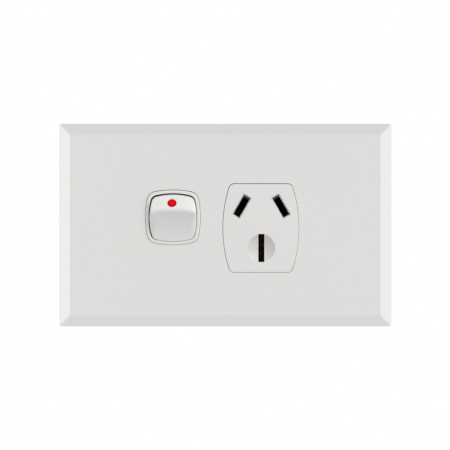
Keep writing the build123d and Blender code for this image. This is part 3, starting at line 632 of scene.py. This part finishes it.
def screw_rings(tip, back):
    """Radius and place of each ring of a clamp screw, as (y, radius at an angle)."""
    seat = back - SCREW_HEAD_HEIGHT
    count = round((seat - tip) / SCREW_PITCH * SCREW_STEPS)
    rings = []
    for step in range(count + 1):
        along = (seat - tip) * step / count
        point = SCREW_CREST - max(0.0, SCREW_POINT - along) * SCREW_POINT_TAPER
        fade = min(1.0, (seat - tip - along) / SCREW_PITCH)

        def radius(angle, along=along, point=point, fade=fade):
            gap = thread_gap(along / SCREW_PITCH - angle / math.tau) * fade
            return min(point, SCREW_CREST - SCREW_THREAD_DEPTH * gap)
        rings.append((tip + along, radius))
    edge = [(seat, SCREW_HEAD_RADIUS), (back - SCREW_HEAD_EDGE, SCREW_HEAD_RADIUS)]
    for step in range(1, SCREW_EDGE_STEPS + 1):
        turn = math.radians(90 * step / SCREW_EDGE_STEPS)
        inset = SCREW_HEAD_EDGE * (1 - math.cos(turn))
        edge.append((back - SCREW_HEAD_EDGE * (1 - math.sin(turn)), SCREW_HEAD_RADIUS - inset))
    rings += [(y, lambda angle, size=size: size) for y, size in edge]
    return rings


def screw_mesh(name, x, z, tip, back):
    """Closed mesh of a threaded clamp screw along Y, before its slot is cut."""
    shape = bmesh.new()
    loops = []
    for y, radius in screw_rings(tip, back):
        loop = []
        for facet in range(SCREW_FACETS):
            angle = math.tau * facet / SCREW_FACETS
            size = radius(angle)
            loop.append(shape.verts.new((x + size * math.cos(angle), y, z + size * math.sin(angle))))
        loops.append(loop)
    join_loops(shape, loops)
    return mesh_of(shape, name)


def slot_cutter(x, z, back):
    """Bar that cuts the slot across a screw head."""
    shape = bmesh.new()
    bmesh.ops.create_cube(shape, size=1.0)
    spans = (3 * SCREW_HEAD_RADIUS, 2 * SCREW_SLOT_DEPTH, SCREW_SLOT_WIDTH)
    bmesh.ops.scale(shape, vec=spans, verts=shape.verts)
    bmesh.ops.translate(shape, vec=(x, back, z), verts=shape.verts)
    return new_piece("slot_cutter", mesh_of(shape, "slot_cutter"))


def threaded_clamp_screw(node, material):
    """Slotted screw with a cut thread, in the place of a terminal's plain one."""
    low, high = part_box(node)
    x = (low[0] + high[0]) / 2
    z = (low[2] + high[2]) / 2
    name = node + "_threaded"
    screw = new_piece(name, screw_mesh(name, x, z, low[1], high[1]))
    cutter = slot_cutter(x, z, high[1])
    cut = screw.modifiers.new("slot", "BOOLEAN")
    cut.operation = "DIFFERENCE"
    cut.solver = "EXACT"
    cut.object = cutter
    view = bpy.context.evaluated_depsgraph_get()
    slotted = bpy.data.meshes.new_from_object(screw.evaluated_get(view))
    screw.modifiers.clear()
    screw.data = slotted
    slotted.name = name
    bpy.data.objects.remove(cutter)
    smooth_mesh(slotted, MOULDED_CREASE)
    slotted.materials.clear()
    slotted.materials.append(material)
    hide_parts(node)
    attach(screw, "root")
    return screw


def add_softbox(name, centre, width, height, power):
    """Area lamp that looks at the plate."""
    lamp = bpy.data.lights.new(name, "AREA")
    lamp.shape = "RECTANGLE"
    lamp.size = width
    lamp.size_y = height
    lamp.energy = power
    holder = bpy.data.objects.new(name, lamp)
    holder.location = centre
    holder.rotation_euler = (-Vector(centre)).to_track_quat("-Z", "Y").to_euler()
    holder.visible_camera = False
    SCENE.collection.objects.link(holder)
    return holder


def light_only(lamp, lit, shading):
    """Keep the light of a lamp to some pieces, and let some pieces cast the shadows in it."""
    for name, pieces in (("receiver_collection", lit), ("blocker_collection", shading)):
        kept = bpy.data.collections.new(f"{lamp.name}_{name}")
        for piece in pieces:
            kept.objects.link(piece)
        setattr(lamp.light_linking, name, kept)


def set_lamps(plate_pieces, inset_pieces):
    """Strips at both sides of the plate for its bevels, and a fill and a key for the pieces that stand in it."""
    cover, bead = [NODES["cover_plate"]], [NODES["mounting_frame"]]
    out = STRIP_DISTANCE * math.sin(math.radians(STRIP_ANGLE))
    ahead = STRIP_DISTANCE * math.cos(math.radians(STRIP_ANGLE))
    left, right = (-out, -ahead, 0), (out, -ahead, 0)
    strips = (
        ("plate_strip_left", left, PLATE_SIDE_POWER, plate_pieces, plate_pieces),
        ("plate_strip_right", right, PLATE_SIDE_POWER * (1 - BEAD_SHADOW), plate_pieces, plate_pieces),
        ("bead_strip", right, PLATE_SIDE_POWER * BEAD_SHADOW, plate_pieces, plate_pieces + bead),
        ("inset_fill", left, INSET_FILL, inset_pieces, inset_pieces + cover),
    )
    for name, place, power, lit, shading in strips:
        light_only(add_softbox(name, place, STRIP_WIDTH, STRIP_LENGTH, power), lit, shading)
    key = add_softbox("inset_key", KEY_PLACE, KEY_SIZE, KEY_SIZE, KEY_POWER)
    light_only(key, inset_pieces, inset_pieces + cover)


def seen_ray(nodes, links):
    """1 for the rays that show the white around the plate: camera, glossy and transmission rays."""
    path = nodes.new("ShaderNodeLightPath")
    seen = math_node(nodes, links, "MAXIMUM", path.outputs["Is Camera Ray"], path.outputs["Is Glossy Ray"])
    return math_node(nodes, links, "MAXIMUM", seen, path.outputs["Is Transmission Ray"])


def light_world():
    """White to the camera and in reflections, and an even soft light on everything else."""
    world = bpy.data.worlds.new("white_studio")
    SCENE.world = world
    world.use_nodes = True
    nodes, links = world.node_tree.nodes, world.node_tree.links
    nodes.clear()
    white = nodes.new("ShaderNodeBackground")
    white.inputs["Strength"].default_value = 1.0
    soft = nodes.new("ShaderNodeBackground")
    soft.inputs["Strength"].default_value = WORLD_LEVEL
    for background in (white, soft):
        background.inputs["Color"].default_value = (1, 1, 1, 1)
    mix = nodes.new("ShaderNodeMixShader")
    links.new(seen_ray(nodes, links), mix.inputs["Fac"])
    links.new(soft.outputs["Background"], mix.inputs[1])
    links.new(white.outputs["Background"], mix.inputs[2])
    output = nodes.new("ShaderNodeOutputWorld")
    links.new(mix.outputs["Shader"], output.inputs["Surface"])


def lay_floor():
    """Pale floor well below the plate: white where it is seen, with the shadow that falls on it."""
    bpy.ops.mesh.primitive_plane_add(size=FLOOR_SIZE, location=(0, 0, -FLOOR_DROP))
    floor = bpy.context.object
    floor.name = "floor"
    material, shader = new_material("floor_white")
    nodes, links = material.node_tree.nodes, material.node_tree.links
    shader.inputs["Base Color"].default_value = FLOOR_GREY
    shader.inputs["Roughness"].default_value = 0.9
    shader.inputs["Specular IOR Level"].default_value = 0.0
    glow = math_node(nodes, links, "MULTIPLY", seen_ray(nodes, links), FLOOR_WHITE)
    links.new(math_node(nodes, links, "ADD", glow, FLOOR_GLOW), shader.inputs["Emission Strength"])
    shader.inputs["Emission Color"].default_value = (1, 1, 1, 1)
    floor.data.materials.append(material)


def set_camera():
    """Camera straight in front, framed as the photograph."""
    camera = bpy.data.cameras.new("front_camera")
    holder = bpy.data.objects.new("front_camera", camera)
    metres_per_pixel = PLATE_WIDTH / PLATE_PIXELS
    view_width = IMAGE_PIXELS * metres_per_pixel
    centre_x = (PLATE_CENTRE_PIXEL[0] - IMAGE_PIXELS / 2) * metres_per_pixel
    centre_z = (IMAGE_PIXELS / 2 - PLATE_CENTRE_PIXEL[1]) * metres_per_pixel
    holder.location = (-centre_x, SHOULDER_Y - CAMERA_DISTANCE, -centre_z)
    holder.rotation_euler = (math.radians(90), 0, 0)
    camera.sensor_width = SENSOR_MM
    camera.lens = SENSOR_MM * CAMERA_DISTANCE / view_width
    SCENE.collection.objects.link(holder)
    SCENE.camera = holder


SCENE.view_settings.view_transform = "Standard"
MOULDED_SKIN = moulded_skin_group()
WORKED_METAL = worked_metal_group()
PAINTED_RECESS_SHADE = painted_recess_shade_group()
FAR_MASK = far_group()

cover_gloss = plastic(
    "white_cover_gloss", COVER_WHITE, roughness=0.3, grain=9000.0, bump=0.05, drift=0.004, specular=0.5,
)
moulding_matte = plastic(
    "white_moulding_matte", MOULDING_WHITE, roughness=0.5, grain=4000.0, bump=0.2, drift=0.02, specular=0.4,
)
dot_ink = red_dot_ink()
brass_turned = metal(
    "brass_turned", srgb(205, 168, 98), srgb(150, 112, 60), amount=0.4, roughness=0.28, streaks=TURNED_STREAKS,
)
silver_rivet = metal(
    "silver_rivet", srgb(228, 227, 223), srgb(170, 166, 158), amount=0.4, roughness=0.28, streaks=EVEN_STREAKS,
)
spring_drawn = metal(
    "spring_drawn", srgb(160, 160, 162), srgb(110, 109, 108), amount=0.4, roughness=0.3, streaks=EVEN_STREAKS,
)
# zinc with painted shade that darkens the screw slots
zinc_plate = metal(
    "zinc_plate", srgb(196, 195, 190), srgb(150, 147, 138), amount=0.5, roughness=0.3, streaks=PLATED_STREAKS,
    recess_depth=1.2, recess_reach=0.0015,
)
dress(
    {
        "white_cover": cover_gloss,
        "red_dot": dot_ink,
        "white_moulding": moulding_matte,
        # contact brass darkened by painted shade in its pockets
        "brass_strip": rolled_brass("brass_rolled", 2.5),
        "brass_block": brass_turned,
        "silver_tip": silver_rivet,
        "spring_wire": spring_drawn,
        "plated_steel": zinc_plate,
    },
    {
        "socket_face": white_socket_satin(),
        # earth contact brass with less painted shade in its pocket
        "earth_contact": rolled_brass("brass_rolled_earth", 0.5),
    },
)
plate_pieces = [node for name, node in NODES.items() if name not in INSET_PIECES]
inset_pieces = [NODES[name] for name in INSET_PIECES]
inset_pieces += [arched_rocker(cover_gloss), settled_dot(dot_ink)]
plate_pieces.append(wound_spring(spring_drawn))
for terminal in ("line", "earth", "neutral"):
    plate_pieces.append(threaded_clamp_screw(f"{terminal}_terminal_screw", zinc_plate))

light_world()
lay_floor()
set_lamps(plate_pieces, inset_pieces)
set_camera()
